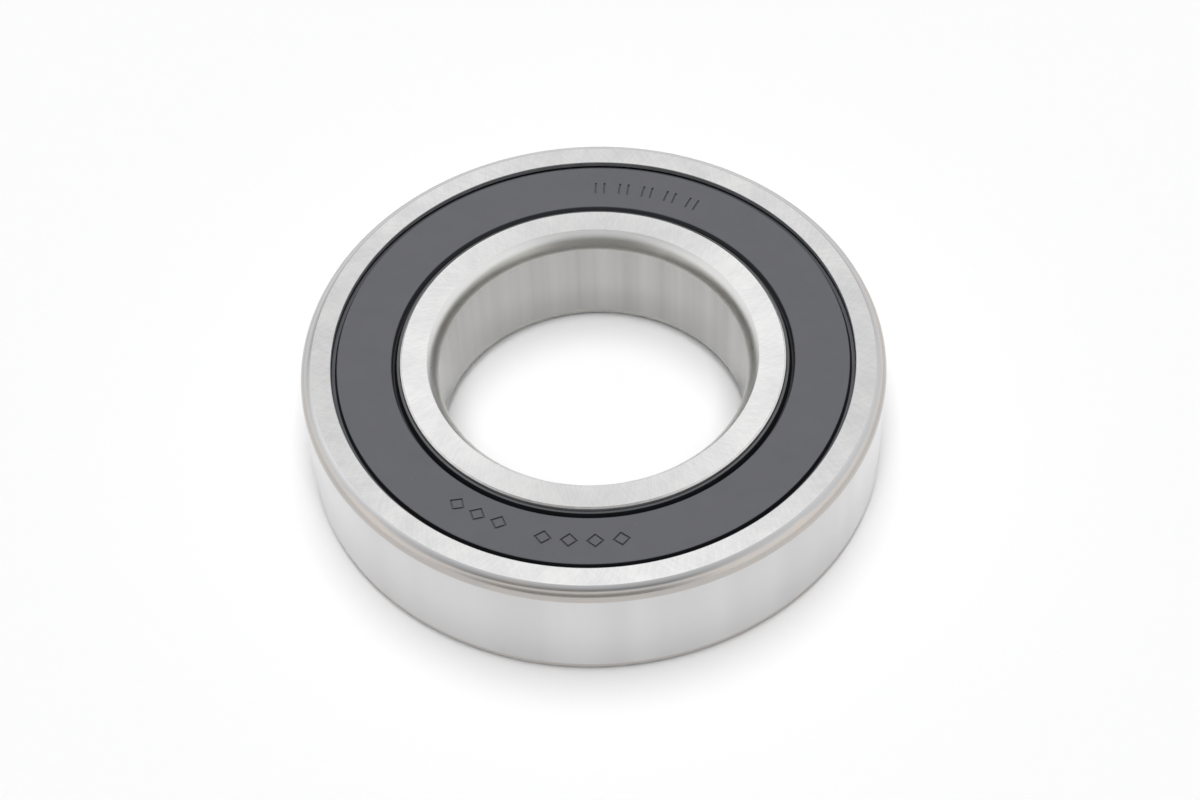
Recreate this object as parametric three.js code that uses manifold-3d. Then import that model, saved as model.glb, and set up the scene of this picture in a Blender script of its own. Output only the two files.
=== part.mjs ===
// Sealed deep-groove ball bearing, 45 x 85 x 19 mm, lying on one side face.
// Millimetres, +Z up along the bearing's axis; the origin is the centre of the lower side face.
// Every outline is drawn as (radius, height above the bearing's middle plane).

import * as THREE from "three";
import { mergeVertices } from "three/addons/utils/BufferGeometryUtils.js";
import Module from "manifold-3d";

// Boundary sizes
const BORE_R = 45 / 2;
const OUTSIDE_R = 85 / 2;
const HALF_WIDTH = 19 / 2;
const OUTSIDE_CORNER = { radial: 1.6, axial: 2.05 }; // rounding of the outside corners
const BORE_CORNER = { radial: 1.45, axial: 2.3 }; // rounding at the mouths of the bore
const EDGE_BREAK = 0.15; // chamfer on the other edges of the side faces

// Balls and raceways
const BALL_COUNT = 9;
const BALL_R = 12.7 / 2;
const PITCH_R = (BORE_R + OUTSIDE_R) / 2;
const GROOVE_R = 0.52 * 2 * BALL_R; // raceway groove, seen in section
const RACE_GAP = 0.05; // between a ball and each raceway

// Rings
const OUTER_SHOULDER_R = 36.1;
const OUTER_LAND_R = 38; // inner edge of the outer ring's side face
const BEAD_GROOVE_R = 38.95; // undercut that holds the seal's bead
const BEAD_GROOVE_LOW = 7.1;
const BEAD_GROOVE_HIGH = 8.2;
const SEAL_SEAT_Z = 6.7; // step that the bead rests on
const INNER_SHOULDER_R = 28.8;
const INNER_LAND_R = 27.93; // outer edge of the inner ring's side face
const LIP_GROOVE_R = 27.6; // recess that the seal's lip runs in
const LIP_GROOVE_LOW = 7.0;
const LIP_GROOVE_HIGH = 8.2;

// Seals
const SEAL_FACE_Z = 9.1; // the rubber's flat face lies a little below the rings' faces
const SEAL_FACE_IN_R = 29.3;
const SEAL_FACE_OUT_R = 37.15;
const SEAL_MOAT_Z = 8.42; // bottom of the grooves beside the flat face
const SEAL_BACK_Z = 7.7; // side that faces the balls
const LIP_TIP_R = 27.72;
const LIP_CREST_Z = 8.75;
const SEAL_GAP = 0.05;
const INSERT_IN_R = 30;
const INSERT_OUT_R = 37.4;
const INSERT_THICKNESS = 0.5;

// Cage
const CAGE_IN_R = 30.35;
const CAGE_OUT_R = 34.65;
const CAGE_THICKNESS = 0.9;
const POCKET_GAP = 0.1; // between a ball and the pocket's flats
const PARTING_GAP = 0.025; // from the middle plane to each half of the cage
const RIVET_R = 1.0;
const RIVET_HEAD_R = 1.75;
const RIVET_HEAD_HEIGHT = 0.7;
const RIVET_GAP = 0.05;

// Facets
const RING_SEGMENTS = 56;
const CORNER_STEPS = 3;
const RACE_STEPS = 4; // along half a raceway groove
const CAGE_SEGMENTS = 5 * BALL_COUNT;
const POCKET_SEGMENTS = 20;
const POCKET_RINGS = 9;
const RIVET_SEGMENTS = 8;
const BALL_DETAIL = 3;

const GROUND_STEEL = { color: 0xd4d3d1, roughness: 0.32, metalness: 1 };
const BALL_STEEL = { color: 0xdadada, roughness: 0.08, metalness: 1 };
const CAGE_STEEL = { color: 0xb4b2ae, roughness: 0.42, metalness: 1 };
const RIVET_STEEL = { color: 0xa8a6a2, roughness: 0.38, metalness: 1 };
const INSERT_STEEL = { color: 0x9a9894, roughness: 0.45, metalness: 1 };
const SEAL_RUBBER = { color: 0x5c5c60, roughness: 0.6, metalness: 0 };

const wasm = await Module();
wasm.setup();

const point = (radius, height) => new THREE.Vector2(radius, height);

// Corner radius of a polygon whose flats touch a circle, so that a round part fits inside it.
const around = (radius, segments) => radius / Math.cos(Math.PI / segments);

// An arc of an ellipse as points, from one angle to another in degrees.
function arc(centre, radiusX, radiusY, from, to, steps) {
  const [start, end] = [from, to].map(THREE.MathUtils.degToRad);
  const curve = new THREE.EllipseCurve(centre.x, centre.y, radiusX, radiusY, start, end, end < start);
  return curve.getPoints(steps);
}

// Turns a closed outline about Z.
function turned(outline, segments = RING_SEGMENTS) {
  return new THREE.LatheGeometry(outline, segments).rotateX(Math.PI / 2);
}

// Completes a ring's outline from its upper half, by mirroring that in the middle plane.
function mirrored(upper) {
  const lower = upper.filter((p) => p.y > 1e-6).map((p) => point(p.x, -p.y));
  return [...upper, ...lower.reverse(), upper[0].clone()];
}

// A flat ring with square corners.
function washer(innerR, outerR, low, high, segments) {
  const corners = [point(outerR, low), point(outerR, high), point(innerR, high), point(innerR, low)];
  return turned([...corners, corners[0].clone()], segments);
}

// Half a raceway's arc, from its shoulder to the bottom of the groove, with the groove's circle
// touching the flats. The side is 1 on the outer ring and -1 on the inner ring.
function raceway(bottomR, shoulderR, side) {
  const centre = point(bottomR - side * GROOVE_R, 0);
  const reach = THREE.MathUtils.radToDeg(Math.acos((side * (shoulderR - centre.x)) / GROOVE_R));
  const radius = GROOVE_R / Math.cos(THREE.MathUtils.degToRad(reach / RACE_STEPS / 2));
  const bottom = side > 0 ? 0 : 180;
  return arc(centre, radius, radius, bottom + side * reach, bottom, RACE_STEPS);
}

function solid(geometry) {
  const bare = geometry.clone().deleteAttribute("normal").deleteAttribute("uv");
  const merged = mergeVertices(bare, 1e-4);
  const mesh = new wasm.Mesh({
    numProp: 3,
    vertProperties: merged.attributes.position.array,
    triVerts: new Uint32Array(merged.index.array),
  });
  return new wasm.Manifold(mesh);
}

function geometryOf(body) {
  const mesh = body.getMesh();
  const geometry = new THREE.BufferGeometry();
  geometry.setAttribute("position", new THREE.BufferAttribute(mesh.vertProperties, 3));
  geometry.setIndex(new THREE.BufferAttribute(mesh.triVerts, 1));
  geometry.computeVertexNormals();
  return geometry;
}

function piece(name, geometry, look) {
  const mesh = new THREE.Mesh(geometry, new THREE.MeshStandardMaterial(look));
  mesh.name = name;
  return mesh;
}

// Outer ring: rounded outside corner, side face, seal groove and seat, shoulder and raceway.
function outerRing() {
  const { radial, axial } = OUTSIDE_CORNER;
  const cornerCentre = point(OUTSIDE_R - radial, HALF_WIDTH - axial);
  const raceBottom = around(PITCH_R + BALL_R + RACE_GAP, RING_SEGMENTS);
  return turned(
    mirrored([
      ...arc(cornerCentre, radial, axial, 0, 90, CORNER_STEPS),
      point(OUTER_LAND_R + EDGE_BREAK, HALF_WIDTH),
      point(OUTER_LAND_R, HALF_WIDTH - EDGE_BREAK),
      point(OUTER_LAND_R, BEAD_GROOVE_HIGH + 0.5),
      point(BEAD_GROOVE_R, BEAD_GROOVE_HIGH),
      point(BEAD_GROOVE_R, BEAD_GROOVE_LOW),
      point(BEAD_GROOVE_R - 0.4, SEAL_SEAT_Z),
      point(OUTER_SHOULDER_R, SEAL_SEAT_Z),
      ...raceway(raceBottom, OUTER_SHOULDER_R, 1),
    ]),
  );
}

// Inner ring: raceway, shoulder, lip recess, side face and the rounded corner of the bore.
function innerRing() {
  const { radial, axial } = BORE_CORNER;
  const boreR = around(BORE_R, RING_SEGMENTS);
  const cornerCentre = point(boreR + radial, HALF_WIDTH - axial);
  return turned(
    mirrored([
      ...raceway(PITCH_R - BALL_R - RACE_GAP, INNER_SHOULDER_R, -1).reverse(),
      point(INNER_SHOULDER_R, LIP_GROOVE_LOW - 0.4),
      point(LIP_GROOVE_R, LIP_GROOVE_LOW),
      point(LIP_GROOVE_R, LIP_GROOVE_HIGH),
      point(INNER_LAND_R, LIP_GROOVE_HIGH + 0.45),
      point(INNER_LAND_R, HALF_WIDTH - EDGE_BREAK),
      point(INNER_LAND_R - EDGE_BREAK, HALF_WIDTH),
      ...arc(cornerCentre, radial, axial, 90, 180, CORNER_STEPS),
    ]),
  );
}

// Rubber of one seal: foot and bead in the outer ring's groove, flat face between two moats,
// running lip, and on its back the pocket for the stiffening insert.
function sealRubber() {
  const beadR = BEAD_GROOVE_R - SEAL_GAP;
  const footZ = SEAL_SEAT_Z + SEAL_GAP;
  const pocketOut = INSERT_OUT_R + SEAL_GAP;
  const pocketIn = INSERT_IN_R - SEAL_GAP;
  const pocketTop = SEAL_BACK_Z + INSERT_THICKNESS + 2 * SEAL_GAP;
  const outline = [
    point(pocketOut, footZ),
    point(beadR - 0.5, footZ),
    point(beadR, BEAD_GROOVE_LOW + 0.1),
    point(beadR, BEAD_GROOVE_HIGH - 0.15),
    point(OUTER_LAND_R - SEAL_GAP, SEAL_MOAT_Z),
    point(SEAL_FACE_OUT_R + 0.35, SEAL_MOAT_Z),
    point(SEAL_FACE_OUT_R, SEAL_FACE_Z),
    point(SEAL_FACE_IN_R, SEAL_FACE_Z),
    point(SEAL_FACE_IN_R - 0.15, SEAL_MOAT_Z),
    point(LIP_TIP_R + 1, SEAL_MOAT_Z),
    point(LIP_TIP_R + 0.6, LIP_CREST_Z),
    point(LIP_TIP_R + 0.35, LIP_CREST_Z - 0.1),
    point(LIP_TIP_R, SEAL_BACK_Z + 0.3),
    point(LIP_TIP_R, SEAL_BACK_Z),
    point(LIP_TIP_R + 0.5, SEAL_BACK_Z - 0.3),
    point(pocketIn - 0.6, SEAL_BACK_Z),
    point(pocketIn, SEAL_BACK_Z),
    point(pocketIn, pocketTop),
    point(pocketOut, pocketTop),
  ];
  return turned([...outline, outline[0].clone()]);
}

function sealInsert() {
  const low = SEAL_BACK_Z + SEAL_GAP;
  return washer(INSERT_IN_R, INSERT_OUT_R, low, low + INSERT_THICKNESS, RING_SEGMENTS);
}

// A ball's sphere with its poles along the radius, grown so that its flats touch a given radius.
function pocketSphere(radius) {
  const grown = around(around(radius, POCKET_SEGMENTS), 2 * POCKET_RINGS);
  const sphere = new THREE.SphereGeometry(grown, POCKET_SEGMENTS, POCKET_RINGS);
  return solid(sphere.rotateZ(Math.PI / 2).translate(PITCH_R, 0, 0));
}

function rivetHole() {
  const radius = RIVET_R + RIVET_GAP;
  const length = 4 * CAGE_THICKNESS;
  const shaft = new THREE.CylinderGeometry(radius, radius, length, RIVET_SEGMENTS);
  return solid(shaft.rotateX(Math.PI / 2).translate(PITCH_R, 0, 0));
}

// Upper half of the pressed cage: a flat ribbon that domes over each ball, riveted in between.
function cageHalf() {
  const pocketR = BALL_R + POCKET_GAP;
  const domeR = pocketR + CAGE_THICKNESS;
  const ribbon = washer(CAGE_IN_R, CAGE_OUT_R, PARTING_GAP, CAGE_THICKNESS, CAGE_SEGMENTS);
  const band = washer(CAGE_IN_R, CAGE_OUT_R, PARTING_GAP, 2 * domeR, CAGE_SEGMENTS);
  const dome = pocketSphere(domeR).intersect(solid(band));
  const pocket = pocketSphere(pocketR);
  const hole = rivetHole();
  const pitchAngle = 360 / BALL_COUNT;
  let body = solid(ribbon);
  for (let i = 0; i < BALL_COUNT; i++) {
    body = body.add(dome.rotate([0, 0, i * pitchAngle]));
  }
  for (let i = 0; i < BALL_COUNT; i++) {
    body = body.subtract(pocket.rotate([0, 0, i * pitchAngle]));
    body = body.subtract(hole.rotate([0, 0, (i + 0.5) * pitchAngle]));
  }
  return geometryOf(body);
}

// Rivet with a domed head at each end.
function rivet() {
  const grip = CAGE_THICKNESS + RIVET_GAP / 2;
  const upper = [
    point(RIVET_R, grip),
    point(RIVET_HEAD_R, grip),
    ...arc(point(0, grip), RIVET_HEAD_R, RIVET_HEAD_HEIGHT, 20, 90, 2),
  ];
  const lower = upper.map((p) => point(p.x, -p.y)).reverse();
  return turned([...lower, ...upper], RIVET_SEGMENTS);
}

// Puts a piece on the pitch circle, a number of ball pitches round from +X.
function onPitchCircle(mesh, pitches) {
  const spoke = new THREE.Group();
  spoke.rotation.z = (pitches * 2 * Math.PI) / BALL_COUNT;
  mesh.position.x = PITCH_R;
  return spoke.add(mesh);
}

const part = new THREE.Group();
const bearing = new THREE.Group();
bearing.position.z = HALF_WIDTH;
part.add(bearing);

bearing.add(piece("outer_ring", outerRing(), GROUND_STEEL));
bearing.add(piece("inner_ring", innerRing(), GROUND_STEEL));

for (const [side, turn] of [["upper", 0], ["lower", Math.PI]]) {
  const half = new THREE.Group();
  half.rotation.x = turn;
  half.add(piece(`${side}_seal_rubber`, sealRubber(), SEAL_RUBBER));
  half.add(piece(`${side}_seal_insert`, sealInsert(), INSERT_STEEL));
  half.add(piece(`${side}_cage_half`, cageHalf(), CAGE_STEEL));
  bearing.add(half);
}

for (let i = 0; i < BALL_COUNT; i++) {
  const ball = piece(`ball_${i + 1}`, new THREE.IcosahedronGeometry(BALL_R, BALL_DETAIL), BALL_STEEL);
  bearing.add(onPitchCircle(ball, i));
  bearing.add(onPitchCircle(piece(`cage_rivet_${i + 1}`, rivet(), RIVET_STEEL), i + 0.5));
}

export default part;
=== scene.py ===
"""Looks of a sealed deep-groove ball bearing that lies on a pale floor.

Every piece is modelled in millimetres, with heights from the bearing's middle plane, and scaled to
metres when its mesh is made. Rings, seals, inserts and rivets are turned from outlines of (radius,
height). The CAD frame gives the outside size and the bodies.
"""

import math

import bmesh
import bpy
from mathutils import Matrix, Vector
from mathutils.geometry import delaunay_2d_cdt


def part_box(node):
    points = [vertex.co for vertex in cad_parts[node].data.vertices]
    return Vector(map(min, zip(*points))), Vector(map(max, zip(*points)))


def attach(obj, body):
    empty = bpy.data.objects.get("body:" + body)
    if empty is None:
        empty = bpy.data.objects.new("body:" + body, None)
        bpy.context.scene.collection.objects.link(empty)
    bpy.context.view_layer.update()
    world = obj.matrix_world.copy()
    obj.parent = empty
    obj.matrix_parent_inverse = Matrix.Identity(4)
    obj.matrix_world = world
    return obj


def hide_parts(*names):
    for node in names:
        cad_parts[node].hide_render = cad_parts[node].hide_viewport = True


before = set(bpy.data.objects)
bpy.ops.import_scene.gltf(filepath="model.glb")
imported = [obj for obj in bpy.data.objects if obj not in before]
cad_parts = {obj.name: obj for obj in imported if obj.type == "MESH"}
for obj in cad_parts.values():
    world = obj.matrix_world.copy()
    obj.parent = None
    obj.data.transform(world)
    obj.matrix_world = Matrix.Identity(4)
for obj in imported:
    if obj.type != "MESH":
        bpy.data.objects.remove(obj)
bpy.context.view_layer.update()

MM = 0.001
OUTSIDE_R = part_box("outer_ring")[1].x / MM
HALF_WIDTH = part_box("outer_ring")[1].z / MM / 2
BORE_R = 22.5
PITCH_R = (BORE_R + OUTSIDE_R) / 2

# Rings. Slopes and sweeps are in degrees, and a groove's pair of heights is its bottom and its top
OUTSIDE_CORNER = {"radial": 1.58, "slope": 12.5, "roundness": 0.97}
BORE_CORNER = {"radial": 1.6, "height": 2.7, "sweep": 33}
OUTER_LAND_R = 38.02
OUTER_LAND_LOW_Z = 8.72
BEAD_GROOVE_R = 38.98
BEAD_GROOVE_Z = (7.1, 8.2)
SEAT_CHAMFER = 0.4
SEAL_SEAT_Z = 6.7
OUTER_SHOULDER_R = 36.1
INNER_LAND_R = 27.98
LIP_GROOVE_R = 27.6
LIP_GROOVE_Z = (7.0, 8.2)
INNER_SHOULDER_R = 28.8
INNER_SHOULDER_Z = 6.6
EDGE_BREAK = 0.27

# Balls, cage and rivets
BALL_COUNT = 9
BALL_R = 6.35
GROOVE_R = 0.52 * 2 * BALL_R
RACE_GAP = 0.05
CAGE_IN_R = 30.35
CAGE_OUT_R = 34.65
SHEET = 0.9
SHEET_BEND = 1.0
POCKET_GAP = 0.12
PARTING_GAP = 0.025
RIVET_R = 1.0
RIVET_HOLE_GAP = 0.05
RIVET_HEAD_R = 1.7
RIVET_HEAD_HEIGHT = 0.65

# Seals. The insert lies in a pocket in the rubber's back, with a gap round it. The flanks are how
# far the face's inner and outer walls lean, and a chamfer is its width and its height
SEAL_FACE_Z = 9.2
SEAL_FACE_DISH = 0.2
SEAL_FACE_IN_R = 29.25
SEAL_FACE_OUT_R = 37.12
INNER_MOAT_Z = 8.05
OUTER_MOAT_Z = 8.42
INNER_MOAT_R = 28.83
OUTER_MOAT_R = 37.96
MOAT_FLANKS = (0.1, 0.3)
BEAD_R = 38.9
BEAD_Z = (6.75, 8.02)
BEAD_CHAMFER = (0.4, 0.45)
SEAL_BACK_Z = 7.7
LIP_TIP_R = 27.72
LIP_TIP_HEIGHT = 0.4
LIP_CHAMFER = (0.5, 0.3)
LIP_ROOT = 0.6
LIP_CREST_R = (28.05, 28.44)
LIP_CREST_Z = 8.94
INNER_LAND_LOW_Z = LIP_CREST_Z - 0.1
INSERT_IN_R = 30.0
INSERT_OUT_R = 37.4
INSERT_THICKNESS = 0.5
INSERT_GAP = 0.05

# Marks moulded into each seal's face: a row's radius, its first azimuth and its step in degrees,
# and how many marks it has
LOZENGE_ROWS = {33.2: (-84.9, -6.3, 4), 32.55: (-115.4, -5.9, 3)}
BAR_ROWS = {33.0: (86.3, -6.3, 5)}
MARK_BAND = (31.0, 35.2)
MARK_DEPTH = 0.2
LOZENGE = {"length": 2.6, "height": 2.5, "stroke": 0.7}
BAR = {"width": 0.3, "height": 2.1, "spacing": 1.3}

# Mesh fineness, and how close two places are before they count as one
RING_SEGMENTS = 256
RIVET_SEGMENTS = 48
BALL_SUBDIVISIONS = 4
ARC_STEP = math.radians(10)
RACEWAY_STEP = math.radians(4)
ARC_SUPPORT = 0.008
STRIP_STEPS = 8
BEND_STEPS = 6
DOME_STEPS = 12
HOLE_STEPS = 24
SEAM_TOLERANCE = 1e-6
MERGE_DISTANCE = 1e-4
CROSSING_TOLERANCE = 1e-5
SHARP_ANGLE = math.radians(24)


# ---------------------------------------------------------------- shader nodes


def feed(tree, socket, value):
    """Gives an input a constant, or joins it to another node's output."""
    if isinstance(value, bpy.types.NodeSocket):
        tree.links.new(value, socket)
    else:
        socket.default_value = value


def add_node(tree, kind, *inputs, **settings):
    """Adds a node. The inputs are values or outputs of other nodes, in the order of its sockets."""
    node = tree.nodes.new("ShaderNode" + kind)
    for key, value in settings.items():
        setattr(node, key, value)
    for socket, value in zip(node.inputs, inputs):
        feed(tree, socket, value)
    return node


class Shader:
    """A material's node tree, with short ways to add nodes and join them."""

    def __init__(self, name, **sockets):
        self.material = bpy.data.materials.new(name)
        self.material.use_nodes = True
        self.tree = self.material.node_tree
        self.surface = self.tree.nodes["Principled BSDF"]
        self.set(**sockets)

    def set(self, **sockets):
        """Sets the surface's inputs, each named as its socket with a low line for a space."""
        for key, value in sockets.items():
            self.feed(self.surface.inputs[key.replace("_", " ")], value)

    def feed(self, socket, value):
        feed(self.tree, socket, value)

    def add(self, kind, *inputs, **settings):
        return add_node(self.tree, kind, *inputs, **settings)

    def math(self, operation, *values):
        return self.add("Math", *values, operation=operation).outputs[0]

    def millimetres(self):
        """The place on the piece, in millimetres, which stays with the piece as it moves."""
        place = self.add("TexCoord").outputs["Object"]
        scale = (1 / MM,) * 3
        return self.add("VectorMath", place, scale, operation="MULTIPLY").outputs[0]

    def cylindrical(self):
        """The direction from the axis as a unit vector, the radius and the height."""
        place = self.add("SeparateXYZ", self.millimetres()).outputs
        flat = self.add("CombineXYZ", place["X"], place["Y"], 0.0).outputs[0]
        radius = self.add("VectorMath", flat, operation="LENGTH").outputs["Value"]
        around = self.add("VectorMath", flat, operation="NORMALIZE").outputs[0]
        return around, radius, place["Z"]

    def noise(self, vector, scale, detail=2.0, roughness=0.5):
        node = self.add("TexNoise")
        self.feed(node.inputs["Vector"], vector)
        node.inputs["Scale"].default_value = scale
        node.inputs["Detail"].default_value = detail
        node.inputs["Roughness"].default_value = roughness
        return node.outputs[0]

    def stretched(self, vector, x, y, z):
        return self.add("VectorMath", vector, (x, y, z), operation="MULTIPLY").outputs[0]

    def upwards(self, z):
        """A vector along Z with the given length."""
        return self.add("CombineXYZ", 0.0, 0.0, z).outputs[0]

    def section(self, radius, height, fineness):
        """Coordinates that are the same all round: the radius and height, times the fineness."""
        y, z = (self.math("MULTIPLY", value, fineness) for value in (radius, height))
        return self.add("CombineXYZ", 0.0, y, z).outputs[0]

    def sum(self, first, second):
        return self.add("VectorMath", first, second, operation="ADD").outputs[0]

    def span(self, value, low, high, to_low=0.0, to_high=1.0):
        return self.add("MapRange", value, low, high, to_low, to_high).outputs[0]

    def round_axis(self):
        """The direction round the Z axis, along which grinding leaves its lines."""
        return self.add("Tangent", direction_type="RADIAL", axis="Z").outputs[0]

    def mix(self, factor, first, second):
        """A mix of two colours, which are a Mix node's sockets 6 and 7."""
        node = self.add("Mix", factor, data_type="RGBA")
        for socket, colour in zip(node.inputs[6:8], (first, second)):
            self.feed(socket, (*colour, 1) if isinstance(colour, tuple) else colour)
        return node.outputs[2]

    def bump(self, height, depth_mm):
        node = self.add("Bump")
        self.feed(node.inputs["Height"], height)
        node.inputs["Distance"].default_value = depth_mm * MM
        node.inputs["Strength"].default_value = 1.0
        return node.outputs[0]

    def spiral(self, fineness, twist, length):
        """Coordinates whose noise makes streaks that cross a side face, leaning by the twist."""
        around, radius, _ = self.cylindrical()
        lean = self.math("MULTIPLY", radius, twist)
        leaning = self.add("VectorRotate", around, rotation_type="Z_AXIS")
        self.feed(leaning.inputs["Angle"], lean)
        flat = self.stretched(leaning.outputs[0], fineness, fineness, 0.0)
        return self.sum(flat, self.upwards(self.math("DIVIDE", radius, length)))


# ---------------------------------------------------------------- materials


def ground_face(name, dark, light, lay):
    """A ring's side face, ground in one stroke, with streaks that cross it both ways.

    The lay is how far its sheen is turned from the direction round the ring, in turns."""
    shader = Shader(name, Metallic=1.0, Anisotropic=1.0, Anisotropic_Rotation=lay)
    fine = shader.noise(shader.spiral(130, 0.012, 2.0), 1.0, 4.0, 0.65)
    crossing = shader.noise(shader.spiral(60, -0.02, 3.0), 1.0, 3.0, 0.6)
    streaks = shader.math("MULTIPLY", shader.math("ADD", fine, crossing), 0.5)
    clouds = shader.noise(shader.millimetres(), 0.16, 4.0, 0.6)
    shade = shader.math("ADD", streaks, shader.math("MULTIPLY", clouds, 0.5))
    shader.set(
        Base_Color=shader.mix(shader.span(shade, 0.62, 0.88), dark, light),
        Roughness=shader.span(crossing, 0.3, 0.7, 0.31, 0.36),
        Tangent=shader.round_axis(),
    )
    return shader.material


def ground_round(name, dark, light):
    """Bore and outside surface: lines round the axis, and faint bands along it."""
    shader = Shader(name, Metallic=1.0, Anisotropic=0.5)
    around, _, height = shader.cylindrical()
    bands = shader.noise(shader.stretched(around, 6, 6, 0), 1.0, 3.0, 0.5)
    rise = shader.upwards(shader.math("MULTIPLY", height, 7.0))
    swing = shader.stretched(around, 5, 5, 0)
    lines = shader.noise(shader.sum(rise, swing), 1.0, 3.0, 0.6)
    shader.set(
        Base_Color=shader.mix(shader.span(bands, 0.3, 0.7), dark, light),
        Roughness=shader.span(lines, 0.3, 0.7, 0.18, 0.24),
        Tangent=shader.round_axis(),
    )
    return shader.material


def turned_steel(name, dark, light, roughness):
    """Steel left as turned and hardened: rings of tool marks and blotches of scale."""
    shader = Shader(name, Metallic=1.0)
    around, radius, height = shader.cylindrical()
    marks = shader.section(radius, height, 4.0)
    swing = shader.stretched(around, 6, 6, 0)
    rings = shader.noise(shader.sum(marks, swing), 1.0, 3.0, 0.6)
    blotches = shader.noise(shader.millimetres(), 0.9, 4.0, 0.65)
    shader.set(
        Base_Color=shader.mix(shader.span(blotches, 0.35, 0.65), dark, light),
        Roughness=shader.span(blotches, 0.3, 0.7, roughness - 0.06, roughness + 0.06),
        Normal=shader.bump(rings, 0.006),
    )
    return shader.material


def dull_wall(name):
    """The lands beside a seal: turned steel dulled by grease and rubber dust."""
    shader = Shader(name, Metallic=0.5)
    around, _, _ = shader.cylindrical()
    smears = shader.noise(shader.stretched(around, 9, 9, 0), 1.0, 4.0, 0.6)
    dark, light = (0.24, 0.245, 0.255), (0.32, 0.325, 0.335)
    shader.set(
        Base_Color=shader.mix(shader.span(smears, 0.3, 0.7), dark, light),
        Roughness=shader.span(smears, 0.3, 0.7, 0.5, 0.6),
        Normal=shader.bump(shader.noise(shader.millimetres(), 2.0, 3.0), 0.004),
    )
    return shader.material


def blended_corner(name, blend, drift, ground, tints, roughness):
    """An unground corner: ground grey by the side face, and tempered to its tints further down.

    The blend is the heights between which it changes, and the drift how far they wander."""
    shader = Shader(name, Metallic=1.0)
    around, _, height = shader.cylindrical()
    from_middle = shader.math("ABSOLUTE", shader.math("SUBTRACT", height, HALF_WIDTH))
    slow = shader.noise(shader.stretched(around, 2.2, 2.2, 0), 1.0, 8.0, 0.62)
    level = shader.math("ADD", from_middle, shader.span(slow, 0.3, 0.7, -drift, drift))
    near_face = shader.span(level, *blend)
    blotches = shader.noise(shader.stretched(around, 3.5, 3.5, 0), 1.0, 5.0, 0.6)
    skin = shader.mix(shader.span(blotches, 0.35, 0.65), *tints)
    marks = shader.noise(shader.stretched(shader.millimetres(), 0.5, 0.5, 9), 1.0, 3.0, 0.6)
    shader.set(
        Base_Color=shader.mix(near_face, skin, ground),
        Roughness=shader.span(marks, 0.3, 0.7, roughness - 0.03, roughness + 0.04),
    )
    return shader.material


def raceway_steel(name):
    """Honed raceway: a near mirror with lines round the axis."""
    shader = Shader(name, Metallic=1.0)
    _, radius, height = shader.cylindrical()
    lines = shader.noise(shader.section(radius, height, 9.0), 1.0, 3.0, 0.7)
    shader.set(
        Base_Color=shader.mix(lines, (0.6, 0.6, 0.6), (0.72, 0.715, 0.7)),
        Roughness=shader.span(lines, 0.3, 0.7, 0.08, 0.16),
        Normal=shader.bump(lines, 0.001),
    )
    return shader.material


def ball_steel(name):
    """Lapped ball: a mirror with hair-fine scratches and a faint cloudiness."""
    shader = Shader(name, Metallic=1.0)
    scratches = shader.noise(shader.stretched(shader.millimetres(), 1, 9, 3), 1.3, 4.0, 0.7)
    clouds = shader.noise(shader.millimetres(), 0.35, 3.0)
    shader.set(
        Base_Color=shader.mix(clouds, (0.66, 0.66, 0.67), (0.76, 0.76, 0.755)),
        Roughness=shader.span(scratches, 0.3, 0.7, 0.04, 0.1),
        Normal=shader.bump(scratches, 0.0004),
    )
    return shader.material


def pressed_steel(name, dark, light, roughness):
    """Pressed strip: drawing marks, a mottled skin and small dents."""
    shader = Shader(name, Metallic=1.0)
    skin = shader.noise(shader.millimetres(), 1.6, 5.0, 0.65)
    drawn = shader.noise(shader.stretched(shader.millimetres(), 1, 1, 7), 1.1, 3.0)
    shader.set(
        Base_Color=shader.mix(shader.span(skin, 0.3, 0.7), dark, light),
        Roughness=shader.span(drawn, 0.3, 0.7, roughness - 0.08, roughness + 0.08),
        Normal=shader.bump(skin, 0.01),
    )
    return shader.material


def rubber_face(name):
    """Moulded rubber's matte face: fine grain, faint bloom, dust, and rubbed arcs."""
    shader = Shader(name, Specular_IOR_Level=0.35)
    around, radius, _ = shader.cylindrical()
    grain = shader.noise(shader.millimetres(), 6.0, 3.0, 0.6)
    bloom = shader.noise(shader.millimetres(), 0.22, 4.0, 0.6)
    specks = shader.noise(shader.millimetres(), 2.7, 1.0, 0.4)
    level = shader.upwards(shader.math("MULTIPLY", radius, 3.0))
    arcs = shader.sum(shader.stretched(around, 4, 4, 0), level)
    rubbed = shader.span(shader.noise(arcs, 1.0, 3.0, 0.65), 0.66, 0.74, 0.0, 0.3)
    dark, light = (0.088, 0.089, 0.098), (0.1, 0.101, 0.111)
    rubber = shader.mix(shader.span(bloom, 0.3, 0.7), dark, light)
    rubber = shader.mix(rubbed, rubber, (0.05, 0.05, 0.055))
    shader.set(
        Base_Color=shader.mix(shader.span(specks, 0.8, 0.84, 0.0, 0.35), rubber, (0.3, 0.3, 0.3)),
        Roughness=shader.span(bloom, 0.3, 0.7, 0.56, 0.66),
        Normal=shader.bump(grain, 0.01),
    )
    return shader.material


def rubber_gloss(name, colour, roughness, shine):
    """The seal's lips and moats: smooth black rubber with a trace of grease and dust. Its darker
    copies in the moats and the marks' grooves are painted shade.
    """
    shader = Shader(name, Specular_IOR_Level=shine)
    around, _, _ = shader.cylindrical()
    wetness = shader.noise(shader.stretched(around, 12, 12, 0), 1.0, 3.0)
    specks = shader.noise(shader.millimetres(), 3.1, 2.0, 0.4)
    dusty = tuple(value + 0.02 for value in colour)
    shader.set(
        Base_Color=shader.mix(shader.span(specks, 0.7, 0.8), colour, dusty),
        Roughness=shader.span(wetness, 0.3, 0.7, roughness - 0.07, roughness + 0.07),
        Normal=shader.bump(wetness, 0.004),
    )
    return shader.material


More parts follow.
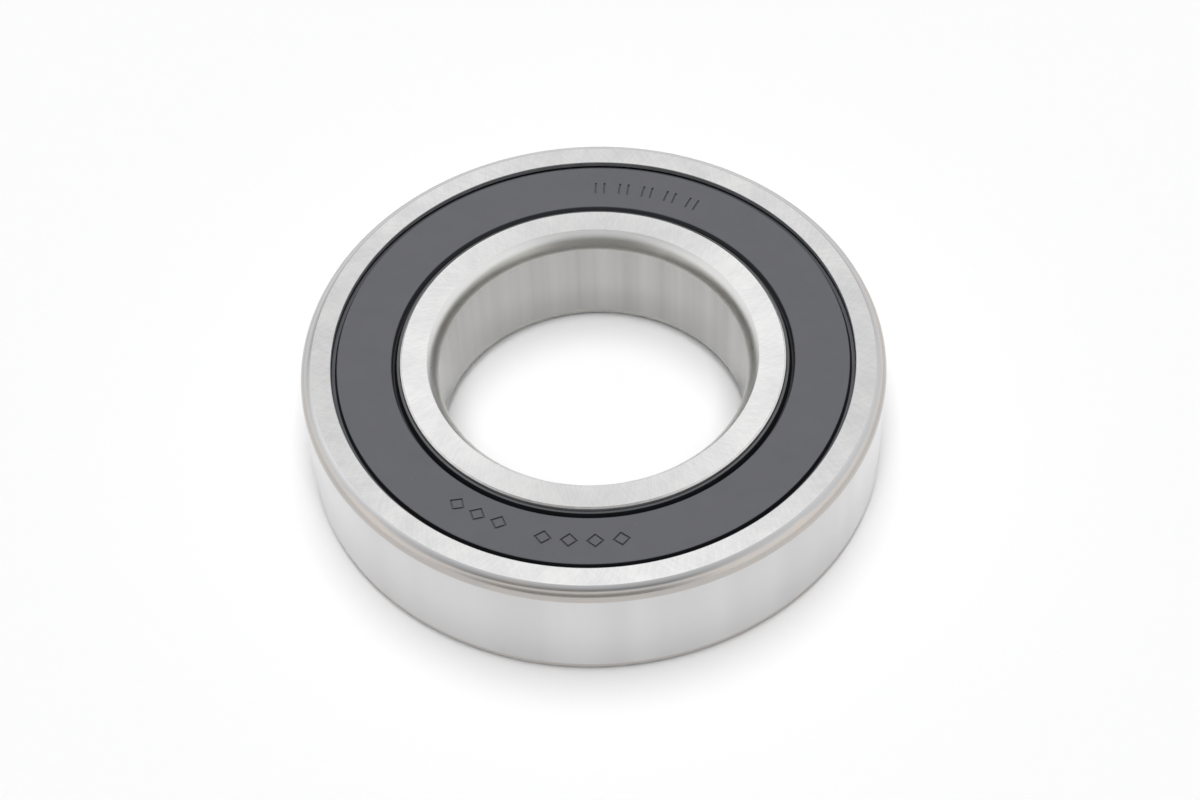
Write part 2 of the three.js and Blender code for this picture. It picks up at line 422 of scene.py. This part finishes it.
def floor_paint(name):
    """White seamless paper with a barely visible tooth."""
    shader = Shader(name, Roughness=0.9, Specular_IOR_Level=0.2)
    tooth = shader.noise(shader.millimetres(), 0.8, 3.0)
    shader.set(
        Base_Color=shader.mix(tooth, (0.845, 0.845, 0.85), (0.855, 0.855, 0.86)),
        Normal=shader.bump(tooth, 0.002),
    )
    return shader.material


FINISHES = {
    "outer_face": ground_face("ground_outer_face", (0.515, 0.515, 0.52), (0.615, 0.61, 0.605), 0.0),
    "inner_face": ground_face("ground_inner_face", (0.555, 0.555, 0.56), (0.66, 0.655, 0.65), 0.25),
    "outside": ground_round("ground_outside", (0.575, 0.57, 0.57), (0.635, 0.63, 0.63)),
    "bore": ground_round("ground_bore", (0.37, 0.365, 0.357), (0.49, 0.485, 0.47)),
    "outside_corner": blended_corner(
        "outside_corner",
        blend=(9.06, 9.22),
        drift=0.24,
        ground=(0.43, 0.43, 0.435),
        tints=[(0.46, 0.44, 0.425), (0.5, 0.465, 0.435)],
        roughness=0.19,
    ),
    "bore_corner": blended_corner(
        "bore_corner",
        blend=(8.3, 8.8),
        drift=0.06,
        ground=(0.62, 0.62, 0.615),
        tints=[(0.41, 0.405, 0.383), (0.47, 0.465, 0.435)],
        roughness=0.3,
    ),
    "turned": turned_steel("turned_groove", (0.34, 0.31, 0.28), (0.5, 0.46, 0.41), 0.36),
    "groove_wall": dull_wall("groove_wall"),
    # Turned steel at the edge break, coloured as bright as the ground faces: partly a painted
    # highlight along the edge
    "edge_break": turned_steel("edge_break", (0.5, 0.49, 0.48), (0.6, 0.59, 0.58), 0.22),
    "raceway": raceway_steel("honed_raceway"),
    "ball": ball_steel("lapped_ball"),
    "cage": pressed_steel("pressed_cage", (0.4, 0.39, 0.37), (0.56, 0.55, 0.53), 0.38),
    "rivet": pressed_steel("cage_rivet", (0.36, 0.35, 0.33), (0.5, 0.49, 0.47), 0.34),
    "insert": pressed_steel("seal_insert", (0.24, 0.24, 0.23), (0.36, 0.355, 0.34), 0.46),
    "rubber_face": rubber_face("rubber_face"),
    "rubber_lip": rubber_gloss("rubber_lip", (0.006, 0.0065, 0.008), 0.28, 0.45),
    "rubber_flank": rubber_gloss("rubber_flank", (0.06, 0.062, 0.07), 0.45, 0.4),
    # The marks' grooves are coloured darker than the face's rubber, as painted shade in them
    "rubber_mark_painted_shade": rubber_gloss("rubber_mark_painted_shade", (0.045, 0.045, 0.05), 0.4, 0.4),
    "rubber_crest": rubber_gloss("rubber_crest", (0.034, 0.035, 0.039), 0.34, 0.7),
    # The moats' near-black colour, far darker than the face's rubber, is painted shade in these
    # hollows
    "rubber_moat": rubber_gloss("rubber_moat", (0.007, 0.0074, 0.009), 0.4, 0.3),
}


# ---------------------------------------------------------------- outlines and meshes


def rounded(corners, closed=False):
    """The points of an outline with its corners rounded, and the finish of each stretch.

    A corner is (radius, height, rounding, finish). The finish is that of its rounding and of the
    straight stretch after it. The first and last corner of an open outline stay sharp."""
    points, finishes = [], []
    count = len(corners)
    for i, (radius, height, rounding, finish) in enumerate(corners):
        here = Vector((radius, height))
        at_end = not closed and i in (0, count - 1)
        if rounding == 0 or at_end:
            arc = [here]
        else:
            before = Vector(corners[i - 1][:2])
            after = Vector(corners[(i + 1) % count][:2])
            arc = corner_arc(before, here, after, rounding)
        points += arc
        finishes += [finish] * len(arc)
    return points, finishes


def corner_arc(before, here, after, rounding):
    """Points of the arc that rounds the corner between two straight lines.

    A further point on each line, close to the arc, keeps the flats' shading flat."""
    back = (before - here).normalized()
    ahead = (after - here).normalized()
    half = back.angle(ahead) / 2
    centre = here + (back + ahead).normalized() * rounding / math.sin(half)
    spoke = here + back * rounding / math.tan(half) - centre
    turn = math.copysign(math.pi - 2 * half, -back.cross(ahead))
    steps = max(2, math.ceil(abs(turn) / ARC_STEP))
    arc = [centre + Matrix.Rotation(turn * k / steps, 2) @ spoke for k in range(steps + 1)]
    return [arc[0] + ARC_SUPPORT * back, *arc, arc[-1] + ARC_SUPPORT * ahead]


def both_sides(points, finishes):
    """Closes an outline that runs from the middle plane back to it, with its mirror image."""
    mirror = [Vector((p.x, -p.y)) for p in reversed(points[1:-1])]
    return points + mirror, finishes[:-1] + finishes[-2::-1]


def turned(points, finishes, segments=RING_SEGMENTS):
    """A band of faces turned about Z. The outline closes on itself unless it ends on the axis.

    A stretch whose finish is None is left open."""
    shape = bmesh.new()
    names = sorted(set(finishes) - {None}, key=finishes.index)
    on_axis = points[0].x == 0
    columns = []
    for k in range(segments):
        angle = 2 * math.pi * k / segments
        cos, sin = math.cos(angle), math.sin(angle)
        columns.append([shape.verts.new((p.x * cos, p.x * sin, p.y)) for p in points])
    stretches = len(points) - 1 if on_axis else len(points)
    for k in range(segments):
        here, following = columns[k], columns[(k + 1) % segments]
        for i in range(stretches):
            j = (i + 1) % len(points)
            if finishes[i] is None:
                continue
            face = shape.faces.new((here[i], following[i], following[j], here[j]))
            face.material_index = names.index(finishes[i])
    return shape, names


def circle(radius, steps=RING_SEGMENTS, centre=(0, 0)):
    """Points round a circle, as a closed outline."""
    return [
        Vector((centre[0] + radius * math.cos(angle), centre[1] + radius * math.sin(angle)))
        for angle in (2 * math.pi * k / steps for k in range(steps))
    ]


def inside(point, outline):
    """Whether a point lies inside a closed outline."""
    crossings = 0
    for a, b in zip(outline, outline[1:] + outline[:1]):
        if (a.y > point.y) != (b.y > point.y):
            crossings += point.x < a.x + (point.y - a.y) * (b.x - a.x) / (b.y - a.y)
    return crossings % 2 == 1


def triangulated(outlines):
    """Triangles that fill some closed outlines, and keep to every one of their edges."""
    points, edges = [], []
    for outline in outlines:
        start, count = len(points), len(outline)
        points += outline
        edges += [(start + i, start + (i + 1) % count) for i in range(count)]
    corners, _, triangles, *_ = delaunay_2d_cdt(points, edges, [], 0, CROSSING_TOLERANCE)
    return corners, triangles


def centre_of(corners, triangle):
    return sum((corners[i] for i in triangle), Vector((0, 0))) / len(triangle)


def piece(name, shape, finishes, body, node, turn=None):
    """Makes a piece from a mesh in millimetres about the bearing's centre, and hands it over."""
    bmesh.ops.remove_doubles(shape, verts=shape.verts, dist=MERGE_DISTANCE)
    bmesh.ops.recalc_face_normals(shape, faces=shape.faces)
    mesh = bpy.data.meshes.new(name)
    shape.to_mesh(mesh)
    shape.free()
    place = Matrix.Translation((0, 0, HALF_WIDTH)) @ (turn or Matrix.Identity(4))
    mesh.transform(Matrix.Scale(MM, 4) @ place)
    for finish in finishes:
        mesh.materials.append(FINISHES[finish])
    mesh.shade_smooth()
    mesh.set_sharp_from_angle(angle=SHARP_ANGLE)
    obj = bpy.data.objects.new(name, mesh)
    bpy.context.scene.collection.objects.link(obj)
    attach(obj, body)
    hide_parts(node)


# ---------------------------------------------------------------- rings


def outside_corner():
    """A rounded corner whose top was ground away with the side face, which it meets at a slope."""
    slope = math.radians(OUTSIDE_CORNER["slope"])
    radial = OUTSIDE_CORNER["radial"]
    tangent = radial / math.cos(slope)
    largest = tangent / math.tan((math.pi / 2 - slope) / 2)
    rounding = OUTSIDE_CORNER["roundness"] * largest
    height = HALF_WIDTH - radial * math.tan(slope)
    return [
        (OUTSIDE_R, height - tangent, 0, "outside_corner"),
        (OUTSIDE_R, height, rounding, "outside_corner"),
        (OUTSIDE_R - radial, HALF_WIDTH, 0.05, "outer_face"),
    ]


def bore_corner():
    """A shallow arc from the ground bore up to the side face, which it meets at a slope."""
    radial, height = BORE_CORNER["radial"], BORE_CORNER["height"]
    sweep = math.radians(BORE_CORNER["sweep"])
    radius = math.hypot(radial, height) / 2 / math.sin(sweep / 2)
    low = math.atan2(radial, height) - sweep / 2
    steps = math.ceil(2 * sweep / ARC_STEP)
    corners = []
    for k in range(steps + 1):
        angle = low + sweep * k / steps
        r = BORE_R + radius * (math.cos(low) - math.cos(angle))
        z = HALF_WIDTH - height + radius * (math.sin(angle) - math.sin(low))
        corners.append((r, z, 0, "bore_corner"))
    corners[-1] = (*corners[-1][:2], 0.12, "inner_face")
    return corners


def raceway(bottom_r, shoulder_r, side):
    """Corner points along half a raceway, from its shoulder to its bottom."""
    centre = bottom_r - side * GROOVE_R
    reach = math.acos(side * (shoulder_r - centre) / GROOVE_R)
    steps = math.ceil(reach / RACEWAY_STEP)
    corners = []
    for k in range(steps + 1):
        angle = reach * (1 - k / steps)
        radius = centre + side * GROOVE_R * math.cos(angle)
        corners.append((radius, GROOVE_R * math.sin(angle), 0, "raceway"))
    return corners


def outer_ring():
    """Half its section goes from the outside surface over the side face to the raceway."""
    corners = [
        (OUTSIDE_R, 0, 0, "outside"),
        *outside_corner(),
        (OUTER_LAND_R, HALF_WIDTH, 0.07, "groove_wall"),
        (OUTER_LAND_R, OUTER_LAND_LOW_Z, 0.08, "groove_wall"),
        (BEAD_GROOVE_R, BEAD_GROOVE_Z[1], 0.12, "turned"),
        (BEAD_GROOVE_R, BEAD_GROOVE_Z[0], 0.12, "turned"),
        (BEAD_GROOVE_R - SEAT_CHAMFER, SEAL_SEAT_Z, 0.1, "turned"),
        (OUTER_SHOULDER_R, SEAL_SEAT_Z, 0.12, "turned"),
        *raceway(PITCH_R + BALL_R + RACE_GAP, OUTER_SHOULDER_R, 1),
    ]
    shape, names = turned(*both_sides(*rounded(corners)))
    piece("outer_ring_fine", shape, names, "outer_assembly", "outer_ring")


def inner_ring():
    """Half its section goes from the bore over the side face to the raceway."""
    corners = [
        (BORE_R, 0, 0, "bore"),
        *bore_corner(),
        # The edge break's bright colour is partly a painted highlight
        (INNER_LAND_R - EDGE_BREAK, HALF_WIDTH, 0.04, "edge_break"),
        (INNER_LAND_R, HALF_WIDTH - 0.8 * EDGE_BREAK, 0.04, "groove_wall"),
        (INNER_LAND_R, INNER_LAND_LOW_Z, 0.06, "turned"),
        (LIP_GROOVE_R, LIP_GROOVE_Z[1], 0.1, "turned"),
        (LIP_GROOVE_R, LIP_GROOVE_Z[0], 0.1, "turned"),
        (INNER_SHOULDER_R, INNER_SHOULDER_Z, 0.12, "turned"),
        *raceway(PITCH_R - BALL_R - RACE_GAP, INNER_SHOULDER_R, -1),
    ]
    shape, names = turned(*both_sides(*rounded(corners)))
    piece("inner_ring_fine", shape, names, "inner_race", "inner_ring")


# ---------------------------------------------------------------- seals


def moulded_marks():
    """Outlines of the marks. What lies inside an odd number of them is sunk."""
    outlines = []
    for radius, row in LOZENGE_ROWS.items():
        x, y = LOZENGE["height"] / 2, LOZENGE["length"] / 2
        lozenge = [Vector((x, 0)), Vector((0, y)), Vector((-x, 0)), Vector((0, -y))]
        hollow = [LOZENGE["stroke"] * corner for corner in lozenge]
        outlines += along_circle([lozenge, hollow], radius, *row)
    for radius, row in BAR_ROWS.items():
        for y in (-BAR["spacing"] / 2, BAR["spacing"] / 2):
            x, low, high = BAR["height"] / 2, y - BAR["width"] / 2, y + BAR["width"] / 2
            bar = [Vector((x, low)), Vector((x, high)), Vector((-x, high)), Vector((-x, low))]
            outlines += along_circle([bar], radius, *row)
    return outlines


def along_circle(outlines, radius, start, step, count):
    """Copies outlines round a circle. Their own X points outwards."""
    copies = []
    out = Vector((radius, 0))
    for k in range(count):
        turn = Matrix.Rotation(math.radians(start + k * step), 2)
        copies += [[turn @ (corner + out) for corner in outline] for outline in outlines]
    return copies


def seal_face_height(radius):
    """The face is dished: it falls evenly from its outer edge to its inner one."""
    across = (SEAL_FACE_OUT_R - radius) / (SEAL_FACE_OUT_R - SEAL_FACE_IN_R)
    return SEAL_FACE_Z - SEAL_FACE_DISH * across


def marked_band(shape, face_index, mark_index):
    """The part of a seal's face that carries the marks, which are sunk into it as grooves."""
    marks = moulded_marks()
    corners, triangles = triangulated([circle(radius) for radius in MARK_BAND] + marks)
    innermost = MARK_BAND[0] * math.cos(math.pi / RING_SEGMENTS)
    made, open_edges = {}, {}

    def corner(i, sunk):
        if (i, sunk) not in made:
            height = seal_face_height(corners[i].length) - sunk * MARK_DEPTH
            made[i, sunk] = shape.verts.new((*corners[i], height))
        return made[i, sunk]

    for triangle in triangles:
        centre = centre_of(corners, triangle)
        if centre.length < innermost:
            continue
        sunk = sum(inside(centre, mark) for mark in marks) % 2 == 1
        face = shape.faces.new([corner(i, sunk) for i in triangle])
        face.material_index = mark_index if sunk else face_index
        for i, j in zip(triangle, triangle[1:] + triangle[:1]):
            open_edges.setdefault((min(i, j), max(i, j)), []).append(sunk)
    for (i, j), sides in open_edges.items():
        if sorted(sides) == [False, True]:
            top, bottom = [corner(i, False), corner(j, False)], [corner(j, True), corner(i, True)]
            shape.faces.new(top + bottom).material_index = mark_index


def seal_rubber(side, turn):
    """One seal's rubber, in order: bead, outer moat, face, inner moat, lip and insert's pocket."""
    band_in, band_out = MARK_BAND
    bead_low, bead_high = BEAD_Z
    pocket_in, pocket_out = INSERT_IN_R - INSERT_GAP, INSERT_OUT_R + INSERT_GAP
    pocket_top = SEAL_BACK_Z + INSERT_THICKNESS + 2 * INSERT_GAP
    back_z = SEAL_BACK_Z - 0.1
    corners = [
        (pocket_out, bead_low, 0.06, "rubber_lip"),
        (BEAD_R - BEAD_CHAMFER[0], bead_low, 0.12, "rubber_lip"),
        (BEAD_R, bead_low + BEAD_CHAMFER[1], 0.15, "rubber_lip"),
        (BEAD_R, bead_high, 0.15, "rubber_lip"),
        (OUTER_MOAT_R, OUTER_MOAT_Z + 0.02, 0.05, "rubber_flank"),
        # The outer face wall, the inner moat's floor and the lip's outer flank take the moats'
        # painted shade
        (SEAL_FACE_OUT_R + MOAT_FLANKS[1], OUTER_MOAT_Z, 0.1, "rubber_moat"),
        (SEAL_FACE_OUT_R, SEAL_FACE_Z, 0.16, "rubber_face"),
        (band_out, seal_face_height(band_out), 0, None),
        (band_in, seal_face_height(band_in), 0, "rubber_face"),
        (SEAL_FACE_IN_R, seal_face_height(SEAL_FACE_IN_R), 0.13, "rubber_flank"),
        (SEAL_FACE_IN_R - MOAT_FLANKS[0], INNER_MOAT_Z, 0.1, "rubber_moat"),
        (INNER_MOAT_R, INNER_MOAT_Z, 0.1, "rubber_moat"),
        (LIP_CREST_R[1], LIP_CREST_Z, 0.08, "rubber_crest"),
        (LIP_CREST_R[0], LIP_CREST_Z, 0.05, "rubber_lip"),
        (LIP_TIP_R, SEAL_BACK_Z + LIP_TIP_HEIGHT, 0.1, "rubber_lip"),
        (LIP_TIP_R, SEAL_BACK_Z, 0.1, "rubber_lip"),
        (LIP_TIP_R + LIP_CHAMFER[0], SEAL_BACK_Z - LIP_CHAMFER[1], 0.15, "rubber_lip"),
        (pocket_in - LIP_ROOT, back_z, 0.3, "rubber_lip"),
        (pocket_in, back_z, 0.04, "rubber_lip"),
        (pocket_in, pocket_top, 0.04, "rubber_lip"),
        (pocket_out, pocket_top, 0.04, "rubber_lip"),
    ]
    shape, names = turned(*rounded(corners, closed=True))
    # The sunk marks' floors and walls take the darker colour, painted shade in the grooves
    names.append("rubber_mark_painted_shade")
    marked_band(shape, names.index("rubber_face"), names.index("rubber_mark_painted_shade"))
    name = f"{side}_seal_rubber"
    piece(f"{name}_fine", shape, names, "outer_assembly", name, turn)


def seal_insert(side, turn):
    """The flat steel washer that stiffens a seal."""
    low = SEAL_BACK_Z + INSERT_GAP
    high = low + INSERT_THICKNESS
    corners = [
        (INSERT_OUT_R, low, 0.12, "insert"),
        (INSERT_OUT_R, high, 0.12, "insert"),
        (INSERT_IN_R, high, 0.12, "insert"),
        (INSERT_IN_R, low, 0.12, "insert"),
    ]
    shape, names = turned(*rounded(corners, closed=True))
    name = f"{side}_seal_insert"
    piece(f"{name}_fine", shape, names, "outer_assembly", name, turn)


# ---------------------------------------------------------------- balls, cage and rivets


def on_pitch_circle(pitches):
    """The matrix that moves a mesh from the origin to a place on the pitch circle.

    The place is given as a number of ball pitches round from the first ball."""
    turn = Matrix.Rotation(2 * math.pi * pitches / BALL_COUNT, 4, "Z")
    return turn @ Matrix.Translation((PITCH_R, 0, 0))


def ball(number):
    """One of the balls, each of which has a body of its own."""
    shape = bmesh.new()
    bmesh.ops.create_icosphere(shape, subdivisions=BALL_SUBDIVISIONS, radius=BALL_R)
    name = f"ball_{number}"
    place = on_pitch_circle(number - 1)
    piece(f"{name}_fine", shape, ["ball"], f"ball_body_{number}", name, place)


def pocket_line(radius):
    """The strip's two sides where one of its circles climbs over a ball.

    Returns pairs of points, below and above the sheet, as (distance from the ball's upright axis,
    height), from where the bend starts to over the ball's top."""
    ball_side = BALL_R + POCKET_GAP
    middle = PARTING_GAP + SHEET / 2
    reach = math.sqrt((ball_side + SHEET / 2 + SHEET_BEND) ** 2 - (middle + SHEET_BEND) ** 2)
    bend = Vector((reach, middle + SHEET_BEND))
    rise = math.atan2(bend.y, bend.x)
    pairs = []
    for k in range(BEND_STEPS + 1):
        angle = -math.pi / 2 - (math.pi / 2 - rise) * k / BEND_STEPS
        spoke = Vector((math.cos(angle), math.sin(angle)))
        pairs.append([bend + (SHEET_BEND + half) * spoke for half in (SHEET / 2, -SHEET / 2)])
    for k in range(1, DOME_STEPS + 1):
        pair = []
        for dome in (ball_side, ball_side + SHEET):
            top = math.acos(abs(radius - PITCH_R) / dome)
            angle = rise + (top - rise) * k / DOME_STEPS
            pair.append(dome * Vector((math.cos(angle), math.sin(angle))))
        pairs.append(pair)
    return pairs


def on_circle(radius, distance, height, azimuth, side):
    """The point of a circle about the bearing's axis at a distance from the axis of the ball there.

    The pocket's two sides meet over the ball in exactly the same points."""
    cosine = (radius**2 + PITCH_R**2 - distance**2) / (2 * radius * PITCH_R)
    spread = math.acos(cosine) if cosine < 1 - SEAM_TOLERANCE else 0.0
    angle = azimuth + side * spread
    return Vector((radius * math.cos(angle), radius * math.sin(angle), height))


class Sheet:
    """A sheet of metal, given as patches of paired points below and above it."""

    def __init__(self):
        self.shape = bmesh.new()
        self.pairs = {}
        self.edges = {}

    def pair(self, below, above):
        key = tuple(round(value, 3) for value in (*below, *above))
        if key not in self.pairs:
            self.pairs[key] = (self.shape.verts.new(below), self.shape.verts.new(above))
        return key

    def patch(self, keys):
        for level in (0, 1):
            self.shape.faces.new([self.pairs[key][level] for key in keys])
        for a, b in zip(keys, keys[1:] + keys[:1]):
            edge = frozenset((a, b))
            self.edges[edge] = self.edges.get(edge, 0) + 1

    def close(self):
        """Puts a wall along every free edge."""
        for edge, count in self.edges.items():
            if count == 1:
                a, b = (self.pairs[key] for key in edge)
                self.shape.faces.new((a[0], b[0], b[1], a[1]))
        return self.shape


def strip_pocket(sheet, azimuth, radii):
    """The strip over one ball. Returns the points where the flats start, one row on each side."""
    rows = []
    for side in (-1, 1):
        grid = []
        for radius in radii:
            line = []
            for below, above in pocket_line(radius):
                ends = (on_circle(radius, *end, azimuth, side) for end in (below, above))
                line.append(sheet.pair(*ends))
            grid.append(line)
        for inner, outer in zip(grid, grid[1:]):
            for k in range(BEND_STEPS + DOME_STEPS):
                sheet.patch([inner[k], inner[k + 1], outer[k + 1], outer[k]])
        rows.append([Vector(line[0][:2]) for line in grid])
    return rows


def arc_between(radius, first, last):
    """The points of a circle about the bearing's axis between two of its points."""
    start = math.atan2(first.y, first.x)
    sweep = (math.atan2(last.y, last.x) - start) % (2 * math.pi)
    angles = [start + sweep * k / BEND_STEPS for k in range(1, BEND_STEPS)]
    return [Vector((radius * math.cos(angle), radius * math.sin(angle))) for angle in angles]


def strip_flat(sheet, azimuth, start, end):
    """The flat between two pockets, with its rivet hole."""
    inner_edge = arc_between(CAGE_IN_R, start[0], end[0])
    outer_edge = arc_between(CAGE_OUT_R, start[-1], end[-1])
    outline = start + outer_edge + end[::-1] + inner_edge[::-1]
    centre = (PITCH_R * math.cos(azimuth), PITCH_R * math.sin(azimuth))
    hole = circle(RIVET_R + RIVET_HOLE_GAP, HOLE_STEPS, centre)
    corners, triangles = triangulated([outline, hole])
    for triangle in triangles:
        middle = centre_of(corners, triangle)
        if inside(middle, outline) and not inside(middle, hole):
            keys = []
            for i in triangle:
                heights = (PARTING_GAP, PARTING_GAP + SHEET)
                keys.append(sheet.pair(*(Vector((*corners[i], height)) for height in heights)))
            sheet.patch(keys)


def cage_half(side, turn):
    """Half of the cage: a pressed strip with a pocket over each ball and a flat between pockets."""
    sheet = Sheet()
    step = (CAGE_OUT_R - CAGE_IN_R) / STRIP_STEPS
    radii = [CAGE_IN_R + step * k for k in range(STRIP_STEPS + 1)]
    pitch = 2 * math.pi / BALL_COUNT
    rows = [strip_pocket(sheet, pitch * k, radii) for k in range(BALL_COUNT)]
    for k in range(BALL_COUNT):
        strip_flat(sheet, pitch * (k + 0.5), rows[k][1], rows[(k + 1) % BALL_COUNT][0])
    name = f"{side}_cage_half"
    piece(f"{name}_fine", sheet.close(), ["cage"], "cage", name, turn)


def rivet(number):
    """A rivet with a formed dome at one end and a flatter pressed head at the other."""
    grip = SHEET + PARTING_GAP
    pressed = -grip - 0.5 * RIVET_HEAD_HEIGHT
    corners = [
        (0, pressed, 0, "rivet"),
        (0.8 * RIVET_HEAD_R, pressed, 0.25, "rivet"),
        (RIVET_HEAD_R, -grip, 0.05, "rivet"),
        (RIVET_R, -grip, 0.04, "rivet"),
        (RIVET_R, grip, 0.04, "rivet"),
        (RIVET_HEAD_R, grip, 0.05, "rivet"),
        (0.9 * RIVET_HEAD_R, grip + 0.6 * RIVET_HEAD_HEIGHT, 0.3, "rivet"),
        (0.5 * RIVET_HEAD_R, grip + RIVET_HEAD_HEIGHT, 0.5, "rivet"),
        (0, grip + RIVET_HEAD_HEIGHT, 0, "rivet"),
    ]
    shape, names = turned(*rounded(corners), segments=RIVET_SEGMENTS)
    name = f"cage_rivet_{number}"
    place = on_pitch_circle(number - 0.5)
    piece(f"{name}_fine", shape, names, "cage", name, place)


# ---------------------------------------------------------------- building


SIDES = {"upper": Matrix.Identity(4), "lower": Matrix.Rotation(math.pi, 4, "X")}

outer_ring()
inner_ring()
for side, turn in SIDES.items():
    seal_rubber(side, turn)
    seal_insert(side, turn)
    cage_half(side, turn)
for number in range(1, BALL_COUNT + 1):
    ball(number)
    rivet(number)


# ---------------------------------------------------------------- floor, light and camera


# The floor's half width in metres, and its gap under the bearing, so that their faces stay apart
FLOOR_SIZE = 4.0
FLOOR_GAP = 0.02 * MM


def floor():
    """A sheet of white paper that runs far past the camera's view."""
    shape = bmesh.new()
    bmesh.ops.create_grid(shape, x_segments=8, y_segments=8, size=FLOOR_SIZE)
    mesh = bpy.data.meshes.new("floor")
    shape.to_mesh(mesh)
    shape.free()
    mesh.materials.append(floor_paint("floor_paper"))
    obj = bpy.data.objects.new("floor", mesh)
    obj.location.z = -FLOOR_GAP
    bpy.context.scene.collection.objects.link(obj)


# The studio's brightness in an arch over the bearing, by degrees from the horizon behind it
BACK_WALL = {0: 1.5, 24: 1.2, 37: 0.6}
WINDOW = {45: 1.5, 54: 1.76, 64: 1.8, 74: 1.52}
CEILING = {88: 1.02, 110: 0.68}
DARK_CAMERA = {125: 0.26}
FRONT_LIGHT = {138: 1.15, 145: 0.92, 152: 0.62}
DARK_FRONT = {161: 0.42, 180: 0.38}
STUDIO = BACK_WALL | WINDOW | CEILING | DARK_CAMERA | FRONT_LIGHT | DARK_FRONT
STUDIO_PEAK = 2.0
# The arch's middle, as the X of a direction, and how far beside it the side walls' even light
# begins and is full
ARCH_X = -0.12
SIDE_FROM, SIDE_TO = 0.3, 0.85
SIDE_LEVEL = 1.25
# The lamps that light matte surfaces: strength, and width and tilt towards the camera in degrees
LAMPS = {"dome_lamp": (0.45, 180, 0), "front_lamp": (1.7, 30, 25), "back_lamp": (1.6, 36, -8)}


def studio():
    """A dome with a wide soft window, which the steel and the rubber's sheen mirror.

    The camera sees it as plain white, and it lights no matte surface."""
    world = bpy.data.worlds.new("studio")
    world.use_nodes = True
    bpy.context.scene.world = world
    world.cycles_visibility.diffuse = False
    tree = world.node_tree

    def calculate(operation, *values):
        return add_node(tree, "Math", *values, operation=operation).outputs[0]

    def mix(factor, first, second):
        """A mix of two numbers, which are a Mix node's sockets 2 and 3."""
        node = add_node(tree, "Mix", factor)
        for socket, value in zip(node.inputs[2:4], (first, second)):
            feed(tree, socket, value)
        return node.outputs[0]

    place = add_node(tree, "TexCoord").outputs["Generated"]
    direction = add_node(tree, "SeparateXYZ", place).outputs
    over = calculate("ARCTAN2", direction["Z"], direction["Y"])
    ramp = add_node(tree, "ValToRGB", calculate("DIVIDE", over, math.pi))
    stops = ramp.color_ramp.elements
    for i, (angle, level) in enumerate(STUDIO.items()):
        stop = stops[i] if i < 2 else stops.new(1.0)
        stop.position = angle / 180
        stop.color = (*[level / STUDIO_PEAK] * 3, 1)
    arch = calculate("MULTIPLY", ramp.outputs[0], STUDIO_PEAK)
    across = calculate("ABSOLUTE", calculate("SUBTRACT", direction["X"], ARCH_X))
    span = (across, SIDE_FROM, SIDE_TO, 0.0, 1.0)
    side = add_node(tree, "MapRange", *span, interpolation_type="SMOOTHSTEP").outputs[0]
    mirrored = mix(side, arch, SIDE_LEVEL)
    seen = mix(add_node(tree, "LightPath").outputs["Is Camera Ray"], mirrored, 1.0)
    background = tree.nodes["Background"]
    feed(tree, background.inputs["Strength"], seen)
    feed(tree, background.inputs["Color"], (1, 1, 1, 1))


def lamps():
    """Wide lamps overhead, one as wide as the sky. Steel mirrors the dome instead of them."""
    for name, (energy, width, tilt) in LAMPS.items():
        lamp = bpy.data.lights.new(name, "SUN")
        lamp.energy = energy
        lamp.angle = math.radians(width)
        obj = bpy.data.objects.new(name, lamp)
        obj.rotation_euler.x = math.radians(tilt)
        obj.visible_glossy = False
        bpy.context.scene.collection.objects.link(obj)


# Where the camera aims and how far it stands in metres, its elevation and roll in degrees, and its
# lens and sensor in millimetres
CAMERA_AIM = Vector((0.764, -1.186, HALF_WIDTH)) * MM
CAMERA_DISTANCE = 0.39728
CAMERA_ELEVATION = 51.231
CAMERA_ROLL = -2.414
CAMERA_LENS = 80.904
CAMERA_SENSOR = 36


def camera():
    """The camera that sees the bearing as the photograph does."""
    data = bpy.data.cameras.new("camera")
    data.lens = CAMERA_LENS
    data.sensor_width = CAMERA_SENSOR
    data.clip_start = 0.01
    obj = bpy.data.objects.new("camera", data)
    tilt = Matrix.Rotation(math.radians(90 - CAMERA_ELEVATION), 4, "X")
    roll = Matrix.Rotation(math.radians(CAMERA_ROLL), 4, "Z")
    back = Matrix.Translation((0, 0, CAMERA_DISTANCE))
    obj.matrix_world = Matrix.Translation(CAMERA_AIM) @ tilt @ roll @ back
    bpy.context.scene.collection.objects.link(obj)
    bpy.context.scene.camera = obj


floor()
studio()
lamps()
camera()
bpy.context.scene.view_settings.view_transform = "Standard"
